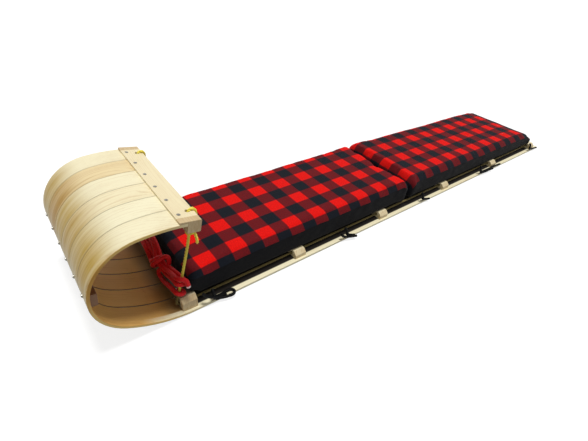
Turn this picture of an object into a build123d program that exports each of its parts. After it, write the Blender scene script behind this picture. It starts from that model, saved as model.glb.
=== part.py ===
from build123d import *
import math
import os

# A long wooden toboggan with a tied-on checked pad. Millimetres, +X forward to the curl,
# +Y to the rider's left, +Z up. The origin is on the ground, midway along the sled.

# Driving dimensions of the running boards
DECK_WIDTH = 406.0
SLAT_COUNT = 6
SLAT_GAP = 0.8
BOARD = 8.0
EDGE_EASE = 0.8
FLAT_LENGTH = 2022.0
# the curl's three arcs, as radius of the running face and degrees of turn, from the ground up and back
FOOT_RADIUS = 335.0
FOOT_TURN = 33.0
BOW_RADIUS = 137.0
BOW_TURN = 142.0
TIP_RADIUS = 440.0
TIP_TURN = 15.0
CURL = ((FOOT_RADIUS, FOOT_TURN), (BOW_RADIUS, BOW_TURN), (TIP_RADIUS, TIP_TURN))

# Crossbars on top of the boards
CLEAT_WIDTH = 41.0
CLEAT_HEIGHT = 25.0
CLEAT_INSET = 8.0
CLEAT_BEVEL = 12.0
CLEAT_EASE = 2.5
TAIL_CLEAT_X = 58.0
MIDDLE_CLEATS = 4
# from the second crossbar to the front one, a little less than the even pitch of the others
FRONT_SPACING = 379.0
FRONT_CLEAT_LEAD = 19.0
FRONT_CLEAT_WIDTH = 42.0
FRONT_CLEAT_HEIGHT = 41.0

BED_CLEAR = 0.05

# Rabbeted bar on the ends of the boards, and the batten inside the curl
BAR_LIP = 5.0
BAR_OVERLAP = 21.0
BAR_BODY = 33.0
BAR_DEPTH = 33.0
BAR_EASE = 2.5
BATTEN_TALL = 34.0
BATTEN_THICK = 15.0
BATTEN_RISE = 6.0
BATTEN_INSET = 4.0
BATTEN_EASE = 2.0

# Yellow side ropes, threaded through the crossbars
ROPE = 8.5
ROPE_BORE = 12.0
ROPE_INSET = 31.0
ROPE_HEIGHT = 12.5
BAR_HOLE_INSET = 43.0
STOPPER = 18.0
STOPPER_LENGTH = 17.0
STAY_LEAD = 14.0
STAY_MOUTH = 7.0
STAY_DROP = 6.0
STAY_HITCH = 32.0
STAY_ASIDE = 11.5
STAY_TAIL = 34.0
STAY_LEAN = 28.0
STAY_BENDS = [10.0, 30.0, 8.0, 6.0, 14.0, 12.0]
ROPE_CLEAR = 0.5

# Pad in two halves, lying on the crossbars
PAD_MARGIN = 11.0
PAD_TOP = 114.0
PAD_TAIL_X = 62.0
PAD_REAR_LENGTH = 1051.0
# how far the nose of the pad lies over the front crossbar, and its clearance behind that bar
PAD_LAP = 25.0
PAD_END_CLEAR = 3.0
PAD_SEAM_GAP = 0.6
PAD_CORNER = 30.0
PAD_TOP_ROUND = 26.0
PAD_FOOT_EASE = 8.0
SEAT = 0.3
# the rear half thins to the tail, gently and then over a short steep wedge
PAD_TAIL_TOP = 62.0
PAD_WEDGE_LENGTH = 95.0
PAD_WEDGE_TOP = 96.0
PAD_WEDGE_ROUND = 120.0

# Hank of the red pull rope, slung between the side ropes and sagging to the front crossbar
HANK_INSET = 43.0
HANK_WIDTH = 27.0
HANK_HEIGHT = 40.0
HANK_SAG = 20.0
HANK_EASE = 8.0

# Black cords that tie the pad down
TIE = 6.0
LAID = TIE / 2 + SEAT
# a tie leaves the pad's side and drops to the boards: along, outward from the pad, up from the boards
TIE_DROP = ((0, 1, 38), (0, 9.5, 36), (-4, 9.5, 22))
# each tie: the half of the pad, the share of its length, and how its end lies on the boards
TIES = (
    ("rear", 0.04, ((-15, 8.5, 8), (-38, 10, LAID), (-60, 13, LAID), (-79, 17, LAID))),
    ("rear", 0.51, ((-17, 8.5, 8), (-48, 8, LAID), (-96, 8.5, LAID), (-144, 8, LAID), (-190, 12, LAID))),
    ("rear", 0.93, ((-14, 8.5, 9), (-30, 11, LAID), (-47, 16, LAID))),
    ("front", 0.381, ((-12, 8.5, 9), (-24, 12, LAID), (-37, 18, LAID))),
    # the one by the nose ends in a bow
    (
        "front",
        0.916,
        (
            (-10, 6.5, 9),
            (-27, 3.4, LAID),
            (-43, 3.2, LAID),
            (-48.7, 7.9, LAID),
            (-48.7, 14.5, LAID),
            (-44, 19.2, LAID),
            (-28, 19, LAID),
            (-13, 15, LAID),
        ),
    ),
)
CORD_SIDES = 8
TIE_SIDES = 6


def curl_line(depth):
    """The boards' line in the XZ plane, at a depth above the running face."""
    parts = [Line((0, depth), (FLAT_LENGTH, depth))]
    for radius, turn in CURL:
        last = parts[-1]
        parts.append(JernArc(start=last @ 1, tangent=last % 1, radius=radius - depth, arc_size=turn))
    return parts


def curl_ends():
    """The two corners at the far end of the curl, and the way it points there."""
    outer = curl_line(0.0)[-1]
    inner = curl_line(BOARD)[-1]
    return outer @ 1, inner @ 1, outer % 1


OVERALL = max(edge.bounding_box().max.X for edge in curl_line(0.0))
MIDDLE = OVERALL / 2
SLAT = (DECK_WIDTH - SLAT_GAP * (SLAT_COUNT - 1)) / SLAT_COUNT
HALF = DECK_WIDTH / 2
ROPE_SIDE = HALF - ROPE_INSET
FRONT_CLEAT_X = FLAT_LENGTH + FRONT_CLEAT_LEAD
CLEAT_PITCH = (FRONT_CLEAT_X - FRONT_SPACING - TAIL_CLEAT_X) / MIDDLE_CLEATS
PAD_WIDTH = DECK_WIDTH - 2 * PAD_MARGIN
PAD_STEP_X = FRONT_CLEAT_X - FRONT_CLEAT_WIDTH / 2 - PAD_END_CLEAR
PAD_NOSE_X = PAD_STEP_X + PAD_END_CLEAR + PAD_LAP
# where each half of the pad starts and ends
PAD_SEAM_X = PAD_TAIL_X + PAD_REAR_LENGTH
PAD_SPANS = {
    "front": (PAD_SEAM_X + PAD_SEAM_GAP / 2, PAD_NOSE_X),
    "rear": (PAD_TAIL_X, PAD_SEAM_X - PAD_SEAM_GAP / 2),
}


def side_plane(y):
    """A drawing plane with X forward and Z up, that extrudes towards -Y."""
    return Plane(origin=(-MIDDLE, y, 0), x_dir=(1, 0, 0), z_dir=(0, -1, 0))


def make_slat(index):
    """One running board with its curl."""
    outer = curl_line(0.0)
    inner = curl_line(BOARD)
    tail = Line(inner[0] @ 0, outer[0] @ 0)
    tip = Line(outer[-1] @ 1, inner[-1] @ 1)
    outline = make_face(outer + [tip] + inner + [tail])
    left = HALF - index * (SLAT + SLAT_GAP)
    slat = extrude(side_plane(left) * outline, SLAT)
    faces = slat.faces().filter_by(Axis.Y)
    return chamfer(faces.edges(), EDGE_EASE)


def make_bed():
    """All the boards as one sheet, for hollowing the foot of a crossbar on the curl."""
    outer = curl_line(0.0)
    inner = curl_line(BOARD + BED_CLEAR)
    tail = Line(inner[0] @ 0, outer[0] @ 0)
    tip = Line(outer[-1] @ 1, inner[-1] @ 1)
    return extrude(side_plane(HALF) * make_face(outer + [tip] + inner + [tail]), DECK_WIDTH)


def make_cleat(x, width, height):
    """A crossbar with bevelled ends, eased top edges and two rope holes."""
    half = HALF - CLEAT_INSET
    foot = BOARD
    bevel = min(CLEAT_BEVEL, 0.6 * height)
    front = Plane(origin=(x - MIDDLE + width / 2, 0, 0), x_dir=(0, 1, 0), z_dir=(1, 0, 0))
    outline = Polyline(
        (-half, foot),
        (half, foot),
        (half, foot + height - bevel),
        (half - bevel, foot + height),
        (-half + bevel, foot + height),
        (-half, foot + height - bevel),
        close=True,
    )
    bar = extrude(front * make_face(outline), -width)
    long_top = bar.edges().filter_by(Axis.Y).group_by(Axis.Z)[-1]
    bar = fillet(long_top, CLEAT_EASE)
    for side in (1, -1):
        place = Pos(x - MIDDLE, side * ROPE_SIDE, foot + ROPE_HEIGHT) * Rot(0, 90, 0)
        bar -= place * Cylinder(ROPE_BORE / 2, 2 * width)
    if x + width / 2 > FLAT_LENGTH:
        bar -= make_bed()
    return bar


def bar_frame():
    """Where the boards end: a frame with X back along them, and Y up out of them."""
    outer, _, along = curl_ends()
    return Plane(
        origin=(outer.X - MIDDLE, 0, outer.Y),
        x_dir=(along.X, 0, along.Y),
        z_dir=(0, 1, 0),
    )


def make_head_bar():
    """The rabbeted bar that caps the boards' ends, with a rope hole at each side."""
    frame = bar_frame()
    foot = BAR_LIP - BAR_DEPTH
    outline = Polyline(
        (-BAR_OVERLAP, 0),
        (0, 0),
        (0, foot),
        (BAR_BODY, foot),
        (BAR_BODY, BAR_LIP),
        (-BAR_OVERLAP, BAR_LIP),
        close=True,
    )
    face = make_face(outline)
    outer_corners = face.vertices().group_by(Axis.X)[-1]
    face = fillet(outer_corners, BAR_EASE)
    bar = extrude(frame * face, HALF, both=True)
    for side in (1, -1):
        mouth = frame.from_local_coords(Vector(BAR_BODY / 2, foot, side * (HALF - BAR_HOLE_INSET)))
        bar -= Plane(mouth, z_dir=frame.y_dir) * Cylinder(ROPE_BORE / 2, 3 * BAR_DEPTH)
    return bar


def make_batten():
    """The strip across the inside of the curl, hollowed to sit on the boards."""
    arc = curl_line(0.0)[2]
    centre = arc.arc_center
    seat = CURL[1][0] - BOARD - SEAT
    half = BATTEN_TALL / 2
    reach = math.sqrt(seat**2 - half**2)
    front = seat - BATTEN_THICK
    back = ThreePointArc((reach, -half), (seat, 0), (reach, half))
    sides = Polyline((reach, half), (front, half), (front, -half), (reach, -half))
    face = make_face([back, sides])
    face = fillet(face.vertices().group_by(Axis.X)[0], BATTEN_EASE)
    length = DECK_WIDTH - 2 * BATTEN_INSET
    place = side_plane(HALF - BATTEN_INSET) * Pos(centre.X, centre.Y) * Rot(0, 0, BATTEN_RISE)
    return extrude(place * face, length)


def pad_outline(half):
    """One half of the pad seen from the side. The rear one thins to the tail."""
    tail, nose = PAD_SPANS[half]
    foot = BOARD + CLEAT_HEIGHT + SEAT
    if half == "front":
        return make_face(Polyline((tail, foot), (tail, PAD_TOP), (nose, PAD_TOP), (nose, foot), close=True))
    knee = (tail + PAD_WEDGE_LENGTH, PAD_WEDGE_TOP)
    top = [(tail, PAD_TAIL_TOP), knee, (nose, PAD_TOP)]
    face = make_face(Polyline((tail, foot), *top, (nose, foot), close=True))
    return fillet(face.vertices().sort_by_distance(knee)[0], PAD_WEDGE_ROUND)


def make_pad(half):
    """One half of the pad: a plain cushion with rounded corners and edges, that steps over the front crossbar."""
    block = extrude(side_plane(PAD_WIDTH / 2) * pad_outline(half), PAD_WIDTH)
    block = fillet(block.edges().filter_by(Axis.Z), PAD_CORNER)
    edges = [edge for face in block.faces() if face.normal_at().Z > 0.5 for edge in face.edges()]
    rim = [edge for edge in edges if edges.count(edge) == 1]
    block = fillet(rim, PAD_TOP_ROUND)
    block = chamfer(block.faces().sort_by(Axis.Z)[0].edges(), PAD_FOOT_EASE)
    if half == "front":
        lap = BOARD + FRONT_CLEAT_HEIGHT + SEAT
        corner = Pos(PAD_STEP_X - MIDDLE, -HALF, 0)
        block -= corner * Box(PAD_NOSE_X, DECK_WIDTH, lap, align=Align.MIN)
    return block


def tube(points, radii, diameter, sides):
    """A rope or cord along straight runs joined by tangent arcs, with flats to keep its facets few."""
    path = FilletPolyline(*points, radius=radii)
    start = Plane(origin=path @ 0, z_dir=path % 0)
    return sweep(start * RegularPolygon(diameter / 2, sides), path=path)


def make_side_rope(side):
    """A rope through the crossbars, up to the head bar, over it and hitched to itself."""
    frame = bar_frame()
    height = BOARD + ROPE_HEIGHT
    tail_face = TAIL_CLEAT_X - CLEAT_WIDTH / 2
    front_face = FRONT_CLEAT_X + FRONT_CLEAT_WIDTH / 2
    over = BAR_LIP + ROPE / 2 + ROPE_CLEAR
    behind = BAR_BODY + ROPE / 2 + ROPE_CLEAR
    under = BAR_LIP - BAR_DEPTH

    def by_bar(back, up, out):
        return frame.from_local_coords(Vector(back, up, side * (HALF - BAR_HOLE_INSET + out)))

    stopper_x = tail_face - STOPPER_LENGTH / 2 - SEAT
    points = [
        Vector(stopper_x - MIDDLE, side * ROPE_SIDE, height),
        Vector(front_face + STAY_LEAD - MIDDLE, side * ROPE_SIDE, height),
        by_bar(BAR_BODY / 2, under - STAY_MOUTH, 0),
        by_bar(BAR_BODY / 2, over, 0),
        by_bar(behind, over, 0),
        by_bar(behind, under - STAY_DROP, STAY_ASIDE / 6),
        by_bar(BAR_BODY / 2, under - STAY_HITCH, STAY_ASIDE),
        by_bar(BAR_BODY / 2 + STAY_LEAN, under - STAY_HITCH - STAY_TAIL, STAY_ASIDE + ROPE / 3),
    ]
    rope = tube(points, STAY_BENDS, ROPE, CORD_SIDES)
    place = Pos(stopper_x - MIDDLE, side * ROPE_SIDE, height) * Rot(0, 90, 0)
    knot = place * Cylinder(STOPPER / 2, STOPPER_LENGTH)
    knot = chamfer(knot.edges().filter_by(GeomType.CIRCLE), STOPPER / 5)
    return rope + knot


def make_hank():
    """The outer shape of the pull rope's hank, in front of the pad and sagging to the front crossbar."""
    foot = BOARD + FRONT_CLEAT_HEIGHT + SEAT
    reach = HALF - HANK_INSET
    front = Plane(origin=(PAD_NOSE_X + SEAT + HANK_WIDTH - MIDDLE, 0, 0), x_dir=(0, 1, 0), z_dir=(1, 0, 0))
    low = ThreePointArc((-reach, foot + HANK_SAG), (0, foot), (reach, foot + HANK_SAG))
    high = ThreePointArc(
        (-reach, foot + HANK_HEIGHT + HANK_SAG),
        (0, foot + HANK_HEIGHT),
        (reach, foot + HANK_HEIGHT + HANK_SAG),
    )
    ends = [Line(low @ 0, high @ 0), Line(low @ 1, high @ 1)]
    block = extrude(front * make_face([low, high, *ends]), -HANK_WIDTH)
    return chamfer(block.faces().filter_by(Axis.X).edges(), HANK_EASE)


def bend_radii(points):
    """The largest arc at each turn that its two runs allow."""
    radii = []
    for before, here, after in zip(points, points[1:], points[2:]):
        first = here - before
        second = after - here
        turn = math.radians(first.get_angle(second))
        radii.append(0.45 * min(first.length, second.length) / math.tan(turn / 2))
    return radii


def make_tie(x, laid, side):
    """One pad tie: from the pad's side, down past the rope and along the boards."""
    points = []
    for along, out, up in TIE_DROP + laid:
        points.append(Vector(x + along - MIDDLE, side * (PAD_WIDTH / 2 + out), BOARD + up))
    radii = bend_radii(points)
    print("bends of a tie", [round(radius, 1) for radius in radii])
    return tube(points, radii, TIE, TIE_SIDES)


def build():
    """Every piece, by its node's name."""
    nodes = {}
    for index in range(SLAT_COUNT):
        nodes[f"slat_{index + 1}"] = make_slat(index)
    nodes["tail_cleat"] = make_cleat(TAIL_CLEAT_X, CLEAT_WIDTH, CLEAT_HEIGHT)
    for index in range(MIDDLE_CLEATS):
        x = TAIL_CLEAT_X + (MIDDLE_CLEATS - index) * CLEAT_PITCH
        nodes[f"cleat_{index + 2}"] = make_cleat(x, CLEAT_WIDTH, CLEAT_HEIGHT)
    nodes["front_cleat"] = make_cleat(FRONT_CLEAT_X, FRONT_CLEAT_WIDTH, FRONT_CLEAT_HEIGHT)
    nodes["head_bar"] = make_head_bar()
    nodes["curl_batten"] = make_batten()
    for half in PAD_SPANS:
        nodes[f"pad_{half}"] = make_pad(half)
    nodes["pull_rope"] = make_hank()
    print("bends of a side rope", STAY_BENDS)
    for name, side in (("left", 1), ("right", -1)):
        nodes[f"side_rope_{name}"] = make_side_rope(side)
        ties = []
        for half, share, laid in TIES:
            tail, nose = PAD_SPANS[half]
            ties.append(make_tie(tail + share * (nose - tail), laid, side))
        nodes[f"pad_ties_{name}"] = Compound(ties)
    return nodes


if __name__ == "__main__":
    os.makedirs("parts", exist_ok=True)
    for node, solid in build().items():
        export_step(solid, f"parts/{node}.step")
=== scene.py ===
"""Dresses the packed toboggan: wood, checked pad, ropes, cords, screws and a plain stage."""

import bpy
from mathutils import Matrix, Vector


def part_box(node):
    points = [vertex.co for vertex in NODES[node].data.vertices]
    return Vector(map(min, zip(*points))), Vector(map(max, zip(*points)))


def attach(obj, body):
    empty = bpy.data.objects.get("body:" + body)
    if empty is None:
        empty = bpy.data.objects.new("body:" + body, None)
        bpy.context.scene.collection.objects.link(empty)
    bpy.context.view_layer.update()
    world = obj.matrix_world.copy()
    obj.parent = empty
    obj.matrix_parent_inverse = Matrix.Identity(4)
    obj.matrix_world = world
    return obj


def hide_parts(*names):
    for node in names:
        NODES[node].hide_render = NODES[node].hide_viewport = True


bl_info = {
    "name": "Toboggan Dressing",
    "version": (1, 0, 0),
    "blender": (4, 5, 0),
    "location": "View3D > Sidebar > Toboggan",
    "description": "Dresses the packed toboggan with its wood, pad, ropes, cords and stage",
    "category": "Object",
}

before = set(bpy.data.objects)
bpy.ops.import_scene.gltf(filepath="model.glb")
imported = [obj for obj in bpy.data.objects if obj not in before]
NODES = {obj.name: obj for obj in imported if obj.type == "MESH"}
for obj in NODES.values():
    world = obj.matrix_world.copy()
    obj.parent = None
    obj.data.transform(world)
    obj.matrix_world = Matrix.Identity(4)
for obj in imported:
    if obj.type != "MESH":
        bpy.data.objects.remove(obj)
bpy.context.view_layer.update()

import math

import bmesh
import bpy
from bpy.props import FloatProperty, FloatVectorProperty, PointerProperty
from mathutils import Matrix, Vector, noise

SLATS = [f"slat_{number}" for number in range(1, 7)]
CLEATS = ["tail_cleat", "cleat_5", "cleat_4", "cleat_3", "cleat_2", "front_cleat"]
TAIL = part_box("slat_1")[0].x
HALF_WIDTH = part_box("slat_1")[1].y
BOARD_WIDTH = 2 * HALF_WIDTH / len(SLATS)
MM = 0.001
# centre and radius of the main bend of the curl, measured from the tail
CURL_X, CURL_Z, CURL_R = 2.1298, 0.16895, 0.137
# the turns round the curl, in radians, over which the amber comes and goes, partly the bend's own tint and
# partly painted shade on its front face
AMBER_AND_SHADE_STARTS, AMBER_AND_SHADE_ENDS = (1.2, 2.0), (2.25, 2.95)
# where along the boards, in millimetres from the tail, the painted shade under the pad, the painted shade
# past the crossbar, the painted shade inside the curl and the golden edge come and go, and how far from the
# middle the painted shade reaches
PAD_SHADE_STARTS, PAD_SHADE_ENDS, FOOT_SHADE_STARTS, FOOT_SHADE_ENDS = (60, 90), (2020, 2026), (2020, 2060), (2070, 2125)
CURL_SHADE_STARTS, SAWN_STARTS, SHADE_SIDES = (2050, 2070), (1980, 2120), (0.186, 0.190)
TWILL_PITCH = 0.0022


def tone(red, green, blue):
    """A colour written in 8-bit screen values, as Blender's linear one."""
    def linear(value):
        value /= 255
        return value / 12.92 if value <= 0.04045 else ((value + 0.055) / 1.055) ** 2.4
    return (linear(red), linear(green), linear(blue), 1.0)


def place(x, y, z):
    """A point given in millimetres, with x measured from the tail of the boards."""
    return Vector((TAIL + x * MM, y * MM, z * MM))


def colour(name, default, description):
    return FloatVectorProperty(
        name=name, description=description, subtype="COLOR", size=4, min=0.0, max=1.0, default=default
    )


def size(name, default, description, low=0.0, high=10.0):
    return FloatProperty(
        name=name, description=description, unit="LENGTH", subtype="DISTANCE",
        default=default, min=low, max=high,
    )


def setting(name, default, description):
    return FloatProperty(name=name, description=description, default=default, min=0.0, max=20.0)


# Settings

class TobogganWood(bpy.types.PropertyGroup):
    """Colours and grain of the boards and bars."""
    pale: colour("Pale board", tone(246, 239, 204), "Colour of the palest boards")
    tan: colour("Tan board", tone(228, 200, 142), "Colour of the deepest boards")
    streak: colour("Grain streak", tone(196, 156, 96), "Colour of the late wood in the grain")
    bar: colour("Bar", tone(240, 226, 186), "Colour of the crossbars and the head bar")
    end: colour("End grain", tone(176, 136, 78), "Colour that the cut ends take")
    # painted shade in part: this tint darkens the curl's front face, which the overhead light reaches less
    amber_and_shade: colour("Amber", tone(198, 168, 78), "Tint of the steamed bend on its outer face")
    # painted shade: the tint that darkens and warms the boards inside the curl, where the curl shades them
    curl_shade: colour("Brown", tone(238, 196, 134), "Tint of the boards inside the curl")
    # painted shade: near-black for the boards under the pad, the deck at the foot of the curl and the front
    # crossbar's middle
    painted_shade: colour("Painted shade on wood", tone(20, 14, 9), "Colour of the boards and the front crossbar under the pad")
    batten: colour("Batten", tone(126, 88, 54), "Colour of the batten inside the curl")
    seam: colour("Seam", tone(60, 36, 18), "Colour of the stain between the boards")
    sawn: colour("Sawn edge", tone(252, 220, 138), "Tint of the boards' outer edges in the bend")
    ring_pitch: size("Ring pitch", 0.0085, "Distance between the growth rings across a board", 0.001, 0.05)


class TobogganPad(bpy.types.PropertyGroup):
    """Sizes and colours of the checked pad."""
    red: colour("Red", tone(228, 16, 10), "Colour of the red checks")
    black: colour("Black", tone(16, 20, 28), "Colour of the black checks")
    mixed: colour("Mixed", tone(84, 18, 24), "Colour where red and black yarns cross")
    boxing: colour("Boxing", tone(5, 5, 8), "Colour of the plain sides")
    check: size("Check", 0.0502, "Width of one check", 0.01, 0.2)
    corner: size("Corner", 0.021, "Radius of the pad's upright corners", 0.01, 0.08)
    shoulder: size("Shoulder", 0.028, "Radius of the pad's top edges", 0.005, 0.04)
    voxel: size("Mesh size", 0.0068, "Cell size of the pad's mesh", 0.003, 0.02)
    swell: size("Swell", 0.010, "Most that the filling may push the cover out", 0.0, 0.03)
    press: setting("Filling", 4.0, "Pressure of the filling")


class TobogganRope(bpy.types.PropertyGroup):
    """Sizes and colours of the ropes and cords."""
    red: colour("Pull rope", tone(250, 12, 20), "Colour of the pull rope")
    red_dark: colour("Pull rope shade", tone(158, 3, 9), "Colour between the pull rope's strands")
    yellow: colour("Side rope", tone(255, 246, 120), "Colour of the side ropes")
    yellow_dark: colour("Side rope shade", tone(255, 230, 66), "Colour between the side ropes' strands")
    # painted shade: the side ropes take this colour low down along the boards, where the pad shades them
    painted_rope_shade: colour("Side rope in painted shade", tone(112, 98, 52), "Colour of the side ropes along the boards")
    black: colour("Pad cords", tone(3, 3, 4), "Colour of the cords that tie the pad")
    black_dark: colour("Pad cord shade", tone(2, 2, 2), "Colour between the pad cords' strands")
    tip: colour("Rope tip", tone(250, 240, 238), "Colour of the pull rope's melted tips")
    tip_dark: colour("Rope tip shade", tone(226, 176, 172), "Colour of the blotches on the melted tips")
    pull: size("Pull rope diameter", 0.0126, "Diameter of the pull rope", 0.004, 0.02)
    side: size("Side rope diameter", 0.0082, "Diameter of the side ropes", 0.004, 0.02)
    tie: size("Pad cord diameter", 0.0086, "Diameter of the pad's cords", 0.002, 0.01)


class TobogganMetal(bpy.types.PropertyGroup):
    """Sizes and colour of the screws."""
    zinc: colour("Zinc", tone(152, 150, 143), "Colour of the screws")
    tarnish: colour("Tarnish", tone(96, 88, 74), "Colour of the screws where they are worn")
    head: size("Screw head", 0.0095, "Diameter of a screw head", 0.003, 0.02)


class TobogganStage(bpy.types.PropertyGroup):
    """Colours and light of the stage."""
    floor: colour("Floor", tone(150, 150, 150), "Colour that the floor throws back as light")
    white: setting("Floor white", 0.80, "How white the floor looks in shade")
    key: setting("Overhead light", 2.4, "Strength of the soft light overhead")
    fill: setting("Fill", 0.30, "Strength of the light all round")


# Helpers for pieces

def new_object(name, data):
    made = bpy.data.objects.new(name, data)
    bpy.context.scene.collection.objects.link(made)
    return made


def finish_piece(piece, material, smooth=True):
    """Gives a piece its material, shading, body and slot."""
    piece.data.materials.clear()
    piece.data.materials.append(material)
    if smooth:
        piece.data.shade_smooth()
    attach(piece, "root")
    return piece


def mesh_of(holder):
    """The mesh that an object shows, modifiers included, and the object is removed."""
    bpy.context.view_layer.update()
    shown = holder.evaluated_get(bpy.context.evaluated_depsgraph_get())
    mesh = bpy.data.meshes.new_from_object(shown)
    data = holder.data
    bpy.data.objects.remove(holder)
    if isinstance(data, bpy.types.Mesh):
        bpy.data.meshes.remove(data)
    else:
        bpy.data.curves.remove(data)
    return mesh


def curve_of(name, routes, kind, bevel=0.0, resolution=12, sides=2):
    """A curve object with one spline for each route of points."""
    curve = bpy.data.curves.new(name, "CURVE")
    curve.dimensions = "3D"
    curve.resolution_u = resolution
    curve.bevel_depth = bevel
    curve.bevel_resolution = sides
    curve.use_fill_caps = bevel > 0
    for route in routes:
        spline = curve.splines.new(kind)
        spline.points.add(len(route) - 1)
        for point, spot in zip(spline.points, route):
            point.co = (*spot, 1.0)
        if kind == "NURBS":
            spline.order_u = 3
            spline.use_endpoint_u = True
            spline.resolution_u = resolution
        spline.use_smooth = True
    return new_object(name, curve)


def smooth_line(name, points, resolution=24):
    """The points of the NURBS spline that has these control points."""
    mesh = mesh_of(curve_of(name, [points], "NURBS", resolution=resolution))
    line = [vertex.co.copy() for vertex in mesh.vertices]
    bpy.data.meshes.remove(mesh)
    return line


def evenly(line, step):
    """The same line with its points an even step apart."""
    reach = [0.0]
    for before, after in zip(line, line[1:]):
        reach.append(reach[-1] + (after - before).length)
    count = max(2, round(reach[-1] / step))
    spaced, at = [], 0
    for number in range(count + 1):
        want = reach[-1] * number / count
        while at < len(reach) - 2 and reach[at + 1] < want:
            at += 1
        span = max(reach[at + 1] - reach[at], 1e-9)
        spaced.append(line[at].lerp(line[at + 1], (want - reach[at]) / span))
    return spaced


def length_of(line):
    """The length of a line of points."""
    return sum((after - before).length for before, after in zip(line, line[1:]))


def sides_of(line):
    """Two directions square to the line at each of its points, without twist."""
    out, normal = [], None
    for index, point in enumerate(line):
        along = (line[min(index + 1, len(line) - 1)] - line[max(index - 1, 0)]).normalized()
        if normal is None:
            normal = along.orthogonal().normalized()
        normal = (normal - along * normal.dot(along)).normalized()
        out.append((normal, along.cross(normal)))
    return out


def strand(line, radius, pitch, phase):
    """A helix round the line."""
    step = length_of(line) / (len(line) - 1)
    points = []
    for index, (point, (first, second)) in enumerate(zip(line, sides_of(line))):
        angle = phase + 2 * math.pi * index * step / pitch
        points.append(point + radius * (math.cos(angle) * first + math.sin(angle) * second))
    return points


def twisted_rope(name, line, diameter, pitch, strands=3, sides=1):
    """Strands laid round a line, as one mesh object."""
    thin = diameter / 2 * 0.47
    ring = diameter / 2 - thin
    lines = [strand(line, ring, pitch, 2 * math.pi * number / strands) for number in range(strands)]
    return new_object(name, mesh_of(curve_of(name, lines, "POLY", thin, sides=sides)))


def braided_rope(name, line, diameter, turns, sides=5, depth=0.05, plaits=6):
    """A round tube along a line, with a braid raised on its surface."""
    piece = new_object(name, mesh_of(curve_of(name, [line], "POLY", diameter / 2, sides=sides)))
    mesh = piece.data
    layer = mesh.uv_layers[0].data
    spot = {}
    for loop in mesh.loops:
        spot.setdefault(loop.vertex_index, layer[loop.index].uv.copy())
    for vertex in mesh.vertices:
        along, round_it = spot[vertex.index]
        first = along * turns + round_it * plaits
        second = along * turns - round_it * plaits
        lift = max(abs(math.cos(math.pi * first)), abs(math.cos(math.pi * second)))
        vertex.co += vertex.normal * diameter * depth * (lift - 0.85)
    return piece


def knot_tube(name, centre, wide, diameter, turn, count=64):
    """A small overhand knot, as a tube on a trefoil."""
    points = []
    for index in range(count):
        angle = 2 * math.pi * index / count
        loop = Vector((
            math.sin(angle) + 2 * math.sin(2 * angle),
            math.cos(angle) - 2 * math.cos(2 * angle),
            -1.35 * math.sin(3 * angle),
        ))
        points.append(centre + turn @ (loop * wide / 6))
    holder = curve_of(name, [points], "POLY", diameter / 2, sides=3)
    holder.data.splines[0].use_cyclic_u = True
    return new_object(name, mesh_of(holder))


# Helpers for materials

def feed(tree, made, feeds):
    """Links or sets the sockets of a node, by name or number."""
    for key, value in feeds.items():
        if isinstance(value, bpy.types.NodeSocket):
            tree.links.new(value, made.inputs[key])
        else:
            made.inputs[key].default_value = value


def node(tree, kind, feeds=None, **settings):
    """One shader node, with its settings and what feeds its sockets."""
    made = tree.nodes.new("ShaderNode" + kind)
    for name, value in settings.items():
        setattr(made, name, value)
    feed(tree, made, feeds or {})
    return made


def maths(tree, operation, *values, clamp=False):
    return node(tree, "Math", dict(enumerate(values)), operation=operation, use_clamp=clamp).outputs[0]


def times(tree, *values):
    """The product of two values or more."""
    product = values[0]
    for value in values[1:]:
        product = maths(tree, "MULTIPLY", product, value)
    return product


def plus(tree, *values):
    """The sum of two values or more."""
    total = values[0]
    for value in values[1:]:
        total = maths(tree, "ADD", total, value)
    return total


def minus(tree, first, second):
    return maths(tree, "SUBTRACT", first, second)


def vector_maths(tree, operation, first, second, output=0):
    return node(tree, "VectorMath", {0: first, 1: second}, operation=operation).outputs[output]


def split(tree, vector):
    return node(tree, "SeparateXYZ", {0: vector}).outputs


def joined(tree, x, y, z=0.0):
    return node(tree, "CombineXYZ", {0: x, 1: y, 2: z}).outputs[0]


def between(tree, value, low, high, to_low=0.0, to_high=1.0):
    """A value mapped from one range to another, with a smooth step."""
    return node(
        tree, "MapRange", {0: value, 1: low, 2: high, 3: to_low, 4: to_high},
        interpolation_type="SMOOTHSTEP",
    ).outputs[0]


def blended(tree, factor, first, second):
    """A value between two values."""
    return node(tree, "Mix", {0: factor, 2: first, 3: second}, data_type="FLOAT").outputs[0]


def mixed(tree, factor, first, second, blend="MIX"):
    """A colour between two colours."""
    return node(
        tree, "Mix", {0: factor, 6: first, 7: second}, data_type="RGBA", blend_type=blend
    ).outputs[2]


def cloud(tree, vector, scale, detail=2.0, **more):
    """Noise on a vector, at one scale or at one for each axis."""
    if isinstance(scale, tuple):
        vector, scale = node(tree, "Mapping", {0: vector, 3: scale}).outputs[0], 1.0
    return node(tree, "TexNoise", {"Vector": vector, "Scale": scale, "Detail": detail, **more}).outputs[0]


def object_coordinates(tree):
    return node(tree, "TexCoord").outputs["Object"]


def group(name, inputs, outputs):
    """An empty node group with named sockets, and its two end nodes."""
    tree = bpy.data.node_groups.new(name, "ShaderNodeTree")
    for label, kind, default in inputs:
        socket = tree.interface.new_socket(label, in_out="INPUT", socket_type="NodeSocket" + kind)
        if default is not None:
            socket.default_value = default
    for label, kind in outputs:
        tree.interface.new_socket(label, in_out="OUTPUT", socket_type="NodeSocket" + kind)
    return tree, tree.nodes.new("NodeGroupInput").outputs, tree.nodes.new("NodeGroupOutput").inputs


def group_once(build):
    """The node group that a function builds, made at its first use and named by its first words."""
    name = build.__doc__.split(".")[0]
    return lambda: bpy.data.node_groups.get(name) or build(name)


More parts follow.
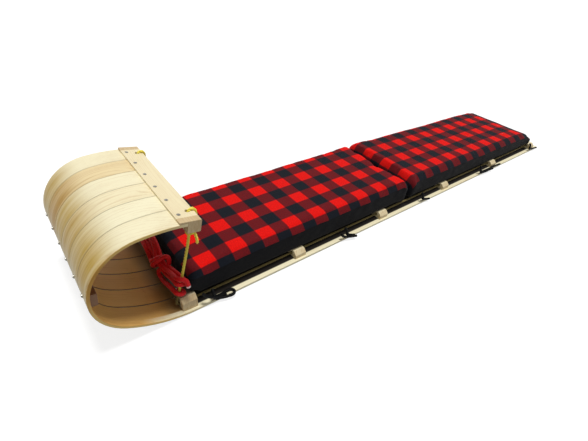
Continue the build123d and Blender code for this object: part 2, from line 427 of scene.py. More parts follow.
def use(tree, made, feeds):
    """A group placed in a material, with what feeds it."""
    placed = tree.nodes.new("ShaderNodeGroup")
    placed.node_tree = made
    feed(tree, placed, feeds)
    return placed.outputs


def material(name, **fixed):
    """A new material, its node tree and its Principled shader with these constants."""
    made = bpy.data.materials.new(name)
    made.use_nodes = True
    tree = made.node_tree
    shader = tree.nodes["Principled BSDF"]
    for key, value in fixed.items():
        shader.inputs[key.replace("_", " ")].default_value = value
    return made, tree, shader


def finish_shader(tree, shader, shade, height, strength, distance, rough=None):
    """Feeds a shader its colour and the bump of its surface, and its roughness where that varies."""
    bump = node(tree, "Bump", {"Height": height, "Strength": strength, "Distance": distance})
    tree.links.new(shade, shader.inputs["Base Color"])
    tree.links.new(bump.outputs[0], shader.inputs["Normal"])
    if rough:
        tree.links.new(rough, shader.inputs["Roughness"])


@group_once
def board_run(name):
    """Board run. Turns object coordinates into the distance along a board that bends round the curl."""
    tree, given, out = group(name, [("Position", "Vector", None)], [("Run", "Vector")])
    axes = split(tree, given["Position"])
    along = minus(tree, axes[0], CURL_X + TAIL)
    up = minus(tree, axes[2], CURL_Z)
    turn = maths(tree, "ARCTAN2", along, times(tree, up, -1.0))
    # past the top of the curl the angle jumps back, and a whole turn is added to it
    turn = plus(tree, turn, times(tree, maths(tree, "LESS_THAN", turn, -0.6), 2 * math.pi))
    flat = times(tree, maths(tree, "LESS_THAN", along, 0.0), maths(tree, "LESS_THAN", up, 0.0))
    reach = maths(tree, "SQRT", plus(tree, times(tree, along, along), times(tree, up, up)))
    run = blended(tree, flat, times(tree, turn, CURL_R), along)
    depth = blended(tree, flat, minus(tree, CURL_R, reach), axes[2])
    tree.links.new(joined(tree, run, axes[1], depth), out["Run"])
    return tree


@group_once
def wood_grain(name):
    """Wood grain. Growth rings, fibres and pores that run along the first axis."""
    tree, given, out = group(
        name,
        [
            ("Run", "Vector", None), ("Wood", "Color", (1, 1, 1, 1)), ("Streak", "Color", (0, 0, 0, 1)),
            ("Ring Pitch", "Float", 0.008), ("Figure", "Float", 0.5), ("Seed", "Float", 0.0),
        ],
        [("Color", "Color"), ("Roughness", "Float"), ("Height", "Float")],
    )
    shift = joined(tree, *(times(tree, given["Seed"], step) for step in (1.37, 0.293, 0.771)))
    run = vector_maths(tree, "ADD", given["Run"], shift)
    drift = cloud(tree, run, (1.1, 7.0, 7.0))
    wobble = cloud(tree, run, (9.0, 55.0, 55.0))
    fibre = cloud(tree, run, (14.0, 620.0, 620.0), 3.0)
    broad = cloud(tree, run, (2.2, 42.0, 42.0), 3.0)
    pore = cloud(tree, run, (70.0, 2300.0, 2300.0), 1.0)
    axes = split(tree, run)
    sway = plus(tree, times(tree, drift, 0.16), times(tree, wobble, 0.006))
    across = plus(tree, axes[1], times(tree, axes[2], 0.9), sway)
    ring = maths(tree, "FRACT", maths(tree, "DIVIDE", across, given["Ring Pitch"]))
    late = between(tree, maths(tree, "POWER", ring, 3.0), 0.12, 1.0)
    figure = maths(tree, "MAXIMUM", late, between(tree, ring, 0.0, 0.12, 1.0, 0.0))
    pores = times(tree, between(tree, pore, 0.62, 0.75), plus(tree, 0.35, figure))
    depth = times(tree, figure, given["Figure"], between(tree, broad, 0.3, 0.7, 0.45, 1.25))
    depth = plus(tree, depth, times(tree, minus(tree, fibre, 0.5), 0.42))
    depth = maths(tree, "ADD", depth, times(tree, minus(tree, broad, 0.5), 0.5), clamp=True)
    shade = mixed(tree, depth, given["Wood"], given["Streak"])
    shade = mixed(tree, maths(tree, "MULTIPLY", pores, 0.3, clamp=True), shade, given["Streak"])
    tree.links.new(shade, out["Color"])
    tree.links.new(between(tree, fibre, 0.2, 0.8, 0.42, 0.58), out["Roughness"])
    tree.links.new(minus(tree, times(tree, fibre, 0.7), times(tree, pores, 0.6)), out["Height"])
    return tree


@group_once
def handling_wear(name):
    """Handling wear. Soft darker scuffs and dust, for any surface."""
    tree, given, out = group(
        name,
        [
            ("Position", "Vector", None), ("Color", "Color", (1, 1, 1, 1)), ("Wear", "Color", (0, 0, 0, 1)),
            ("Amount", "Float", 0.2),
        ],
        [("Color", "Color"), ("Mask", "Float")],
    )
    patch = cloud(tree, given["Position"], 7.0, 4.0, Roughness=0.6)
    scuff = cloud(tree, given["Position"], (40.0, 160.0, 160.0))
    mask = times(tree, between(tree, patch, 0.45, 0.75), between(tree, scuff, 0.4, 0.7, 0.4, 1.0))
    amount = maths(tree, "MULTIPLY", mask, given["Amount"], clamp=True)
    tree.links.new(mixed(tree, amount, given["Color"], given["Wear"]), out["Color"])
    tree.links.new(mask, out["Mask"])
    return tree


@group_once
def rope_fibre(name):
    """Rope fibre. Fine filaments that run round a strand on its own UV map."""
    tree, given, out = group(
        name,
        [
            ("UV", "Vector", None), ("Light", "Color", (1, 1, 1, 1)), ("Dark", "Color", (0, 0, 0, 1)),
            ("Along", "Float", 400.0), ("Round", "Float", 12.0), ("Slant", "Float", 30.0),
        ],
        [("Color", "Color"), ("Height", "Float")],
    )
    axes = split(tree, given["UV"])
    lay = plus(tree, times(tree, axes[1], given["Round"]), times(tree, axes[0], given["Slant"]))
    fibre = cloud(tree, joined(tree, times(tree, axes[0], given["Along"]), lay), 1.0)
    tree.links.new(mixed(tree, between(tree, fibre, 0.3, 0.7), given["Dark"], given["Light"]), out["Color"])
    tree.links.new(fibre, out["Height"])
    return tree


def board_stains_and_shade(tree, settings, spot, run, shade):
    """A board's stains: amber and brown in the bend, dark at the seams and under the pad."""
    axes = split(tree, spot)
    reach = maths(tree, "ABSOLUTE", axes[1])

    def past(start, end, before=0.0, after=1.0):
        """A value that changes between two places, given in millimetres from the tail."""
        return between(tree, axes[0], TAIL + start * MM, TAIL + end * MM, before, after)

    # partly painted shade: the curl's front face is darkened in patches along each board, partly the bend's
    # own tint
    turn = maths(tree, "DIVIDE", split(tree, run)[0], CURL_R)
    patches = between(tree, cloud(tree, run, (1.6, 46.0, 3.0)), 0.32, 0.64, 0.6, 1.0)
    amber_and_shade = times(
        tree, between(tree, turn, *AMBER_AND_SHADE_STARTS), between(tree, turn, *AMBER_AND_SHADE_ENDS, 1.0, 0.0), patches)
    shade = mixed(tree, amber_and_shade, shade, settings.amber_and_shade, "MULTIPLY")
    # the inner face points to the middle of the bend
    inward = vector_maths(tree, "SUBTRACT", (CURL_X + TAIL, 0.0, CURL_Z), spot)
    inward = vector_maths(tree, "MULTIPLY", inward, (1.0, 0.0, 1.0))
    normal = node(tree, "TexCoord").outputs["Normal"]
    inner = between(tree, vector_maths(tree, "DOT_PRODUCT", inward, normal, "Value"), 0.02, 0.06)
    middle = times(tree, inner, between(tree, reach, *SHADE_SIDES, 1.0, 0.0))
    # painted shade: the inner faces of the curl, all but the lit strip along the outer edges, take the
    # darker warm tint
    bend = maths(tree, "MAXIMUM", middle, times(tree, inner, between(tree, axes[2], 0.012, 0.045)))
    shade = mixed(tree, times(tree, bend, past(*CURL_SHADE_STARTS)), shade, settings.curl_shade, "MULTIPLY")
    # painted shade: the deck past the front crossbar, at the foot of the curl, darkened where the curl
    # shades it
    foot_shade = times(tree, middle, past(*FOOT_SHADE_ENDS, 0.7, 0.0), past(*FOOT_SHADE_STARTS))
    shade = mixed(tree, foot_shade, shade, settings.painted_shade)
    # painted shade: the deck under the pad is near-black, standing for its shadow, and rough
    under_pad_shade = times(tree, middle, past(*PAD_SHADE_ENDS, 1.0, 0.0), past(*PAD_SHADE_STARTS))
    shade = mixed(tree, under_pad_shade, shade, settings.painted_shade)
    # the seams take more stain than the faces, and the outermost edges take none
    cell = maths(tree, "FRACT", maths(tree, "DIVIDE", plus(tree, axes[1], HALF_WIDTH), BOARD_WIDTH))
    rim = times(tree, maths(tree, "ABSOLUTE", minus(tree, cell, 0.5)), BOARD_WIDTH)
    stain = times(
        tree,
        between(tree, rim, BOARD_WIDTH / 2 - 0.0030, BOARD_WIDTH / 2 - 0.0008),
        between(tree, reach, HALF_WIDTH - 0.006, HALF_WIDTH - 0.004, 1.0, 0.0),
        plus(tree, 0.24, times(tree, inner, 0.7)),
    )
    shade = mixed(tree, stain, shade, settings.seam)
    # the sawn edge of the bend is golden
    sawn = times(
        tree, between(tree, reach, HALF_WIDTH - 0.0008, HALF_WIDTH - 0.0003),
        past(*SAWN_STARTS, 0.0, 0.85))
    return mixed(tree, sawn, shade, settings.sawn, "MULTIPLY"), under_pad_shade


def wood_material(name, wood, streak, seed, figure, end, bent=False, end_and_shade_share=0.25, shaded=0.0):
    """Wood whose grain follows a bent board, or runs across the sled on a bar."""
    settings = bpy.context.scene.toboggan_wood
    made, tree, shader = material(name, Specular_IOR_Level=0.35, Coat_Weight=0.08, Coat_Roughness=0.35)
    spot = object_coordinates(tree)
    axes = split(tree, spot)
    if bent:
        run = use(tree, board_run(), {"Position": spot})["Run"]
    else:
        run = joined(tree, axes[1], axes[0], axes[2])
    grain = use(tree, wood_grain(), {
        "Run": run, "Wood": wood, "Streak": streak, "Ring Pitch": settings.ring_pitch,
        "Figure": figure, "Seed": seed,
    })
    shade = use(tree, handling_wear(), {
        "Position": spot, "Color": grain["Color"], "Wear": end, "Amount": 0.16})["Color"]
    rough = grain["Roughness"]
    if bent:
        shade, under_pad_shade = board_stains_and_shade(tree, settings, spot, run, shade)
        rough = maths(tree, "MAXIMUM", rough, under_pad_shade)
    else:
        # the cut ends are darker, with painted shade added on the front crossbar's and the head bar's ends,
        # and the middle of a bar that lies in the shade gets painted shade
        reach = maths(tree, "ABSOLUTE", axes[1])
        rings = cloud(tree, spot, (260.0, 8.0, 60.0))
        cut = times(
            tree, between(tree, reach, HALF_WIDTH - 0.0206, HALF_WIDTH - 0.0185),
            between(tree, rings, 0.3, 0.7, end_and_shade_share - 0.09, end_and_shade_share + 0.09))
        shade = mixed(tree, cut, shade, end)
        shade = mixed(tree, between(tree, reach, 0.174, 0.184, shaded, 0.0), shade, settings.painted_shade)
    finish_shader(tree, shader, shade, grain["Height"], 0.35, 0.0005, rough)
    return made


def cloth_material():
    """The pad's checked twill, on the UV map that unrolls the cover."""
    settings = bpy.context.scene.toboggan_pad
    made, tree, shader = material(
        "checked_cloth", Roughness=0.92, Specular_IOR_Level=0.12, Sheen_Weight=0.04, Sheen_Roughness=0.5
    )
    cover = node(tree, "UVMap", uv_map="cover").outputs[0]
    axes = split(tree, cover)
    stripes = []
    for axis in (axes[0], axes[1]):
        turn = maths(tree, "FRACT", maths(tree, "DIVIDE", axis, 2 * settings.check))
        centre = maths(tree, "ABSOLUTE", minus(tree, turn, 0.5))
        stripes.append(between(tree, centre, 0.232, 0.268, 1.0, 0.0))
    both = times(tree, *stripes)
    neither = times(tree, *(minus(tree, 1.0, stripe) for stripe in stripes))
    shade = mixed(tree, both, settings.mixed, settings.red)
    shade = mixed(tree, neither, shade, settings.black)
    # a fine twill line shows where the two colours cross
    twill = maths(tree, "SINE", times(tree, plus(tree, axes[0], axes[1]), 2 * math.pi / TWILL_PITCH))
    crossing = minus(tree, minus(tree, 1.0, both), neither)
    lift = times(tree, between(tree, twill, -1.0, 1.0, -1.0, 1.0), 0.22, crossing)
    shade = mixed(tree, maths(tree, "MAXIMUM", lift, 0.0), shade, settings.red)
    shade = mixed(tree, maths(tree, "MAXIMUM", times(tree, lift, -1.0), 0.0), shade, settings.black)
    # the plain boxing starts at the seam
    below = node(tree, "Attribute", attribute_name="below_seam").outputs["Fac"]
    shade = mixed(tree, between(tree, below, -0.0004, 0.0004), shade, settings.boxing)
    yarn = cloud(tree, cover, (1500.0, 1500.0, 1.0), 1.0)
    fuzz = cloud(tree, cover, (260.0, 260.0, 1.0), 3.0)
    level = between(tree, fuzz, 0.3, 0.7, 0.84, 1.1)
    dusty = node(tree, "CombineColor", {0: level, 1: level, 2: level}).outputs[0]
    shade = mixed(tree, 1.0, shade, dusty, "MULTIPLY")
    height = plus(tree, times(tree, twill, 0.4), plus(tree, yarn, fuzz))
    finish_shader(tree, shader, shade, height, 0.5, 0.0004)
    return made


def rope_material(name, light, dark, painted_rope_shade=None, sheen=0.05):
    """The fibres of a rope, soiled where it lies on the boards."""
    along, round_it, slant = ROPE_FIBRES[name]
    made, tree, shader = material(
        name, Roughness=0.6, Specular_IOR_Level=0.3 if sheen else 0.1, Sheen_Weight=sheen)
    spot = object_coordinates(tree)
    fibre = use(tree, rope_fibre(), {
        "UV": node(tree, "UVMap", uv_map="UVMap").outputs[0], "Light": light, "Dark": dark,
        "Along": along, "Round": round_it, "Slant": slant,
    })
    shade = use(tree, handling_wear(), {
        "Position": spot, "Color": fibre["Color"], "Wear": dark, "Amount": 0.15})["Color"]
    # painted shade: below about 50 mm the rope takes the darker colour
    if painted_rope_shade:
        shade = mixed(tree, between(tree, split(tree, spot)[2], 0.050, 0.085), painted_rope_shade, shade)
    finish_shader(tree, shader, shade, fibre["Height"], 0.5, 0.0004)
    return made


def seen_plainly(tree):
    """One where a ray comes from the camera or a glossy or clear surface, and nothing elsewhere."""
    path = node(tree, "LightPath").outputs
    seen = maths(tree, "MAXIMUM", path["Is Camera Ray"], path["Is Glossy Ray"])
    return maths(tree, "MAXIMUM", seen, path["Is Transmission Ray"])


def tip_material():
    """The melted tips of the pull rope."""
    settings = bpy.context.scene.toboggan_rope
    made, tree, shader = material("melted_tip", Roughness=0.35)
    blotch = cloud(tree, object_coordinates(tree), 420.0)
    shade = mixed(tree, between(tree, blotch, 0.35, 0.7), settings.tip, settings.tip_dark)
    finish_shader(tree, shader, shade, blotch, 0.4, 0.0005)
    return made


def metal_material():
    """The screws' zinc, a little worn."""
    settings = bpy.context.scene.toboggan_metal
    made, tree, shader = material("zinc", Metallic=1.0)
    spot = object_coordinates(tree)
    speck = cloud(tree, spot, 900.0)
    shade = use(tree, handling_wear(), {
        "Position": spot, "Color": settings.zinc, "Wear": settings.tarnish, "Amount": 0.5})["Color"]
    finish_shader(tree, shader, shade, speck, 0.2, 0.0001, between(tree, speck, 0.3, 0.7, 0.28, 0.5))
    return made


# Operators

class TOBOGGAN_OT_camera(bpy.types.Operator):
    """Sets the camera at the height and angle of the photograph"""
    bl_idname = "toboggan.camera"
    bl_label = "Camera"

    def execute(self, context):
        azimuth, elevation, roll = (math.radians(angle) for angle in CAMERA_ANGLES)
        back = Vector((
            math.sin(azimuth) * math.cos(elevation),
            -math.cos(azimuth) * math.cos(elevation),
            math.sin(elevation),
        ))
        right = Vector((0, 0, 1)).cross(back).normalized()
        up = back.cross(right)
        across = math.cos(roll) * right + math.sin(roll) * up
        above = math.cos(roll) * up - math.sin(roll) * right
        lens = bpy.data.cameras.new("camera")
        lens.sensor_width = 36.0
        lens.lens = CAMERA_FOCUS * lens.sensor_width
        lens.clip_start = 0.02
        camera = new_object("camera", lens)
        turn = Matrix((across, above, back)).transposed().to_4x4()
        camera.matrix_world = Matrix.Translation(CAMERA_PLACE) @ turn
        context.scene.camera = camera
        return {"FINISHED"}


class TOBOGGAN_OT_pull_rope(bpy.types.Operator):
    """Lays the red pull rope in its hank on the front crossbar"""
    bl_idname = "toboggan.pull_rope"
    bl_label = "Pull Rope"

    def execute(self, context):
        settings = context.scene.toboggan_rope
        points = [place(*spot) for spot in PULL_ROUTE]
        line = evenly(smooth_line("pull_route", points), 0.0016)
        rope = braided_rope("pull_rope_hank", line, settings.pull, length_of(line) / PULL_PLAIT)
        finish_piece(rope, rope_material("red_rope", settings.red, settings.red_dark))
        routes = []
        for end, inside in ((line[0], line[6]), (line[-1], line[-7])):
            out = (end - inside).normalized()
            routes.append([end - out * 0.004, end + out * TIP_PROUD])
        tips = curve_of("tips", routes, "POLY", settings.pull / 2 * 0.94, sides=3)
        ends = finish_piece(new_object("pull_rope_tips", mesh_of(tips)), tip_material())
        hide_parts("pull_rope")
        return {"FINISHED"}


class TOBOGGAN_OT_side_ropes(bpy.types.Operator):
    """Threads the yellow side ropes through the crossbars and up to the head bar"""
    bl_idname = "toboggan.side_ropes"
    bl_label = "Side Ropes"

    def execute(self, context):
        settings = context.scene.toboggan_rope
        finish = rope_material("yellow_rope", settings.yellow, settings.yellow_dark, settings.painted_rope_shade)
        for name, side in (("left", 1), ("right", -1)):
            points = [place(x, y * side, z) for x, y, z in SIDE_ROUTE]
            line = evenly(smooth_line(f"side_route_{name}", points, 48), 0.0034)
            rope = twisted_rope(f"side_rope_{name}_lay", line, settings.side, SIDE_LAY)
            finish_piece(rope, finish)
            x, y, z = STOPPER
            stopper = knot_tube(
                f"side_rope_{name}_stopper", place(x, y * side, z), 0.0072, settings.side * 0.86,
                Matrix.Rotation(math.radians(90), 3, "Y"))
            finish_piece(stopper, finish)
            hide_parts(f"side_rope_{name}")
        return {"FINISHED"}


class TOBOGGAN_OT_pad_ties(bpy.types.Operator):
    """Ties the black cords along both sides of the pad"""
    bl_idname = "toboggan.pad_ties"
    bl_label = "Pad Ties"

    def execute(self, context):
        settings = context.scene.toboggan_rope
        finish = rope_material("black_cord", settings.black, settings.black_dark, sheen=0.0)
        for side_name, side in (("left", 1), ("right", -1)):
            for number, (route, knot, knot_size) in enumerate(TIE_ROUTES, 1):
                name = f"pad_tie_{side_name}_{number}"
                points = [place(x, y * side, z) for x, y, z in route]
                line = evenly(smooth_line(f"{name}_route", points), 0.0022)
                turns = length_of(line) / TIE_PLAIT
                tie = braided_rope(name, line, settings.tie, turns, sides=3, depth=0.04)
                finish_piece(tie, finish)
                if knot:
                    x, y, z = knot
                    tilt = Matrix.Rotation(math.radians(40 * number), 3, "X")
                    turn = tilt @ Matrix.Rotation(0.6 * number, 3, "Z")
                    lump = knot_tube(
                        f"{name}_knot", place(x, y * side, z), knot_size, settings.tie * 0.8, turn)
                    finish_piece(lump, finish)
                if number == 1:
                    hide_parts(f"pad_ties_{side_name}")
        return {"FINISHED"}


class TOBOGGAN_OT_boards(bpy.types.Operator):
    """Gives each running board its own wood"""
    bl_idname = "toboggan.boards"
    bl_label = "Boards"

    def execute(self, context):
        settings = context.scene.toboggan_wood
        for index, name in enumerate(SLATS):
            share, figure = BOARD_TONES[index]
            wood = [a + (b - a) * share for a, b in zip(settings.pale, settings.tan)]
            NODES[name].material_slots[0].material = wood_material(
                f"{name}_wood", wood, settings.streak, 3.1 + 5.7 * index, figure, settings.end, bent=True)
        return {"FINISHED"}


class TOBOGGAN_OT_bars(bpy.types.Operator):
    """Gives the crossbars, the head bar and the batten their wood"""
    bl_idname = "toboggan.bars"
    bl_label = "Bars"

    def execute(self, context):
        settings = context.scene.toboggan_wood
        for index, name in enumerate(CLEATS):
            # painted shade: the front crossbar's ends are darker and its middle, under the curl, near-black
            end_and_shade_share, shaded = (0.5, 0.8) if name == "front_cleat" else (0.25, 0.0)
            NODES[name].material_slots[0].material = wood_material(
                f"{name}_wood", settings.bar, settings.streak, 40.0 + 3.3 * index, 0.3, settings.end,
                end_and_shade_share=end_and_shade_share, shaded=shaded)
        # painted shade in part: the head bar's ends are darker than end grain alone
        NODES["head_bar"].material_slots[0].material = wood_material(
            "head_bar_wood", settings.bar, settings.streak, 71.0, 0.2, settings.end, end_and_shade_share=0.55)
        NODES["curl_batten"].material_slots[0].material = wood_material(
            "curl_batten_wood", settings.batten, settings.batten, 83.0, 0.3, settings.batten)
        return {"FINISHED"}


def screw_head(whole, spot, out, radius, proud):
    """A low domed screw head with a recess, standing on a point and facing out."""
    turn = Vector((0, 0, 1)).rotation_difference(out).to_matrix().to_4x4()
    disc = bmesh.ops.create_circle(
        whole, cap_ends=True, segments=24, radius=radius, matrix=Matrix.Translation(spot) @ turn)
    face = next(f for f in disc["verts"][0].link_faces)
    face.normal_update()
    if face.normal.dot(out) < 0:
        face.normal_flip()
    # inset as a share of the radius, and lift as a share of the height: the dome, then the recess
    for inset, lift in ((0.0, 0.45), (0.12, 0.3), (0.28, 0.25), (0.3, -0.7)):
        if inset:
            bmesh.ops.inset_region(whole, faces=[face], thickness=radius * inset)
        face = bmesh.ops.extrude_discrete_faces(whole, faces=[face])["faces"][0]
        bmesh.ops.translate(whole, verts=list(face.verts), vec=out * proud * lift)
    bmesh.ops.scale(
        whole, verts=list(face.verts), vec=(0.55, 0.55, 0.55),
        space=Matrix.Translation(-face.calc_center_median()))


class TOBOGGAN_OT_screws(bpy.types.Operator):
    """Sets the screws in the head bar, the curl and under the crossbars"""
    bl_idname = "toboggan.screws"
    bl_label = "Screws"

    def execute(self, context):
        radius = context.scene.toboggan_metal.head / 2
        zinc = metal_material()
        bar_spot = place(*BAR_EDGE) - BAR_BACK * 9.0 * MM + BAR_UP * 5.0 * MM
        face = Vector((math.cos(CURL_SCREWS), 0, math.sin(CURL_SCREWS)))
        curl_spot = Vector((TAIL + CURL_X, 0, CURL_Z)) + face * CURL_R
        # each screw's point, direction, radius and height, and how deep it sits
        groups = {"bar_screws": [], "curl_screws": [], "deck_screws": []}
        for index in range(len(SLATS)):
            lane = HALF_WIDTH - BOARD_WIDTH * (index + 0.5)
            across = Vector((0, lane, 0))
            groups["bar_screws"].append((bar_spot + across, BAR_UP, radius, 0.0011, 0.0002))
            groups["curl_screws"].append((curl_spot + across, face, radius * 1.05, 0.0034, 0.0002))
            for name in CLEATS:
                low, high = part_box(name)
                middle = (low.x + high.x) / 2 - (0.012 if name == "front_cleat" else 0.0)
                spot = Vector((middle, lane, 0.0))
                groups["deck_screws"].append((spot, Vector((0, 0, -1)), radius * 0.8, 0.0009, 0.0007))
        for name, screws in groups.items():
            whole = bmesh.new()
            for spot, out, wide, proud, deep in screws:
                screw_head(whole, spot - out * deep, out, wide, proud)
            mesh = bpy.data.meshes.new(name)
            whole.to_mesh(mesh)
            whole.free()
            finish_piece(new_object(name, mesh), zinc, smooth=False)
        return {"FINISHED"}


def rounded_block(name, low, high, corner, shoulder):
    """A closed block with rounded corners, as a mesh object, for the pad to start from."""
    span, middle = high - low, (high + low) / 2
    block = bmesh.new()
    shape = Matrix.Translation(middle) @ Matrix.Diagonal((*span, 1.0))
    bmesh.ops.create_cube(block, size=1.0, matrix=shape)
    upright = [e for e in block.edges if abs(e.verts[0].co.z - e.verts[1].co.z) > span.z / 2]
    bmesh.ops.bevel(
        block, geom=upright, offset=corner, segments=6, profile=0.5, affect="EDGES", material=-1)
    for level, offset in ((high.z, shoulder), (low.z, LOW_EDGE)):
        rim = [e for e in block.edges if all(abs(v.co.z - level) < 1e-5 for v in e.verts)]
        bmesh.ops.bevel(
            block, geom=rim, offset=offset, segments=5, profile=0.5, affect="EDGES", material=-1)
    mesh = bpy.data.meshes.new(name)
    block.to_mesh(mesh)
    block.free()
    return new_object(name, mesh)


def unroll_cover(mesh, low, high, red_x, red_y, shoulder, inward):
    """Maps the cover flat over the top and down the sides, and notes each point's depth below its seam."""
    top = high.z
    layer = mesh.uv_layers.new(name="cover")
    below = mesh.attributes.new("below_seam", "FLOAT", "POINT")
    reach = []
    for vertex in mesh.vertices:
        x, y, z = vertex.co
        drop = max(0.0, top - z)
        turn = math.acos(max(0.0, 1 - drop / shoulder))
        spread = shoulder * (turn - math.sin(turn)) + max(0.0, drop - shoulder)
        lean_x, lean_y = abs(vertex.normal.x), abs(vertex.normal.y)
        share = lean_y / max(lean_x + lean_y, 1e-6)
        near_end = (x - (low.x + high.x) / 2) / (high.x - low.x) * 2
        u = x + math.copysign(spread * (1 - share), near_end)
        v = y + math.copysign(spread * share, y)
        reach.append((u, v))
        # the seam of the plain boxing runs low on the near side and high at the ends and on the far side
        side_seam = SEAM_NEAR if y > 0 else SEAM_FAR
        end_seam = SEAM_FOLD if near_end * inward < 0 else SEAM_END
        seam = end_seam * (1 - share) + side_seam * share
        below.data[vertex.index].value = drop - seam * MM
    check = bpy.context.scene.toboggan_pad.check
    for loop in mesh.loops:
        u, v = reach[loop.vertex_index]
        layer.data[loop.index].uv = (u - red_x + check, v - red_y + check)


def swell_cover(piece, press, frames=20):
    """Fills the cover with a short cloth simulation, and gives back the filled places of its points."""
    cloth = piece.modifiers.new("fill", "CLOTH")
    cloth.settings.quality = 4
    cloth.settings.use_pressure = True
    cloth.settings.uniform_pressure_force = press
    cloth.settings.tension_stiffness = 12
    cloth.settings.compression_stiffness = 8
    cloth.settings.bending_stiffness = 0.6
    cloth.settings.shrink_min = -0.015
    cloth.settings.effector_weights.gravity = 0.0
    cloth.point_cache.frame_start = 1
    cloth.point_cache.frame_end = frames
    scene = bpy.context.scene
    for number in range(1, frames + 1):
        scene.frame_set(number)
    shown = piece.evaluated_get(bpy.context.evaluated_depsgraph_get())
    places = [vertex.co.copy() for vertex in shown.data.vertices]
    piece.modifiers.remove(cloth)
    scene.frame_set(1)
    return places


def ruffle(x, y, z):
    return noise.noise(Vector((x, y, z)))


def smooth_step(value, low, high):
    share = max(0.0, min(1.0, (value - low) / (high - low)))
    return share * share * (3 - 2 * share)


def pad_level(x):
    """How high the top of the filled pad stands at a place in millimetres from the tail, in metres."""
    for (before, low), (after, high) in zip(PAD_PROFILE, PAD_PROFILE[1:]):
        if x <= after:
            share = max(0.0, (x - before) / (after - before))
            return (low + (high - low) * share * share * (3 - 2 * share)) * MM
    return PAD_PROFILE[-1][1] * MM


class TOBOGGAN_OT_pad(bpy.types.Operator):
    """Makes the two halves of the checked pad, filled and creased"""
    bl_idname = "toboggan.pad"
    bl_label = "Pad"

    def execute(self, context):
        settings = context.scene.toboggan_pad
        cloth = cloth_material()
        for half, (red_x, red_y) in PAD_CHECKS.items():
            self.cushion(settings, cloth, half, TAIL + red_x * MM, red_y * MM)
        return {"FINISHED"}

    def cushion(self, settings, cloth, half, red_x, red_y):
        """One half: a filled block, pinched at the fold and laid over what it lies on."""
        low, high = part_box(f"pad_{half}")
        inward = 1.0 if half == "front" else -1.0
        start_low = low + Vector((COVER_SLACK, COVER_SLACK, 0.0))
        start_high = high - Vector((COVER_SLACK, COVER_SLACK, COVER_SLACK))
        block = rounded_block(
            f"pad_{half}_block", start_low, start_high, settings.corner, settings.shoulder)
        remesh = block.modifiers.new("cells", "REMESH")
        remesh.mode = "VOXEL"
        remesh.voxel_size = settings.voxel
        piece = new_object(f"pad_{half}_cover", mesh_of(block))
        mesh = piece.data
        unroll_cover(mesh, start_low, start_high, red_x, red_y, settings.shoulder, inward)
        rest = [vertex.co.copy() for vertex in mesh.vertices]
        filled = swell_cover(piece, settings.press)
        below = [entry.value for entry in mesh.attributes["below_seam"].data]
        for vertex, spot, was, under in zip(mesh.vertices, filled, rest, below):
            push = spot - was
            if push.length > settings.swell:
                push = push.normalized() * settings.swell
            spot = self.creased(was + push, low, high, inward, under)
            if half == "front":
                spot = self.nose(spot, low, high, settings.corner)
            vertex.co = self.kept_clear(spot, low, high, half)
        mesh.update()
        smooth = piece.modifiers.new("smooth", "SUBSURF")
        smooth.levels = 1
        smooth.render_levels = 1
        finish_piece(piece, cloth)
        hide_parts(f"pad_{half}")

    def creased(self, spot, low, high, inward, under):
        """A point of the cover with its slack, the pinch at the fold and the puckers at the seam."""
        x, y, z = spot
        full = high.z - low.z
        height = max(0.0, min(1.0, (z - low.z) / full))
        away = max(0.0, (x - (low.x if inward > 0 else high.x)) * inward)
        slack = ruffle(x * 7.0, y * 9.0, 2.0) * 0.0022 + ruffle(x * 22.0, y * 26.0, 7.0) * 0.0011
        ripple = ruffle(x * 4.0, y * 34.0, 3.0)
        pinch = FOLD_DEPTH * math.exp(-(away / FOLD_REACH) ** 2) * (1.0 + 0.5 * ripple)
        pinch += CREASE_DEPTH * ripple * math.exp(-away / CREASE_REACH)
        z += (slack - pinch) * height
        # the seam draws the cover in, with puckers beside it, and the sides hang in soft wrinkles
        drawn = 0.0022 * math.exp(-(under / 0.006) ** 2)
        pucker = ruffle(x * 38.0, y * 38.0, 5.0) * 0.0016 * math.exp(-(under / 0.018) ** 2)
        if abs(y) > 0.15:
            fullness = ruffle(x * 16.0, 1.0, z * 30.0) * 0.0028
            y += math.copysign(fullness * (1 - abs(2 * height - 1)) + pucker - drawn, y)
        level = (pad_level((x - TAIL) / MM) - low.z) / full
        return Vector((x, y, max(low.z + (z - low.z) * min(1.0, level), low.z)))

    def nose(self, spot, low, high, corner):
        """A point of the front half, whose nose lies on the front crossbar and hangs over its ends."""
        rise = smooth_step(spot.x, *(TAIL + at * MM for at in NOSE_STEP))
        lifted = low.z + (NOSE_LAP * MM - low.z) * rise
        z = lifted + (spot.z - low.z) * (high.z - lifted) / (high.z - low.z)
        out = Vector((max(0.0, spot.x - high.x + corner), max(0.0, abs(spot.y) - high.y + corner)))
        share = (1 - smooth_step(z, 0.060, 0.090)) * smooth_step(spot.x, TAIL + 1.930, TAIL + 1.990)
        share *= smooth_step(out.length, 0.5 * corner, 0.85 * corner)
        push = out.normalized() * share * NOSE_PUSH
        over = smooth_step(abs(spot.y), 0.182, 0.196) * smooth_step(spot.x, TAIL + 2.000, TAIL + 2.020)
        y = spot.y + math.copysign(push.y, spot.y)
        return Vector((spot.x + push.x, y, z - share * over * NOSE_DROP))

    def kept_clear(self, spot, low, high, half):
        """A point kept clear of the ropes at the nose, of the front crossbar and of the other half."""
        x, y, z = spot
        beside = smooth_step(abs(y), 0.138, 0.160) * smooth_step(z, 0.064, 0.082)
        limit = high.x - (NOSE_ROOM + ROPE_ROOM * beside) * MM
        x = min(x, limit if half == "front" else high.x)
        x = max(x, low.x - (0.0 if half == "front" else BULGE))
        return (x, max(-high.y - BULGE, min(high.y + BULGE, y)), min(z, high.z + 0.004))


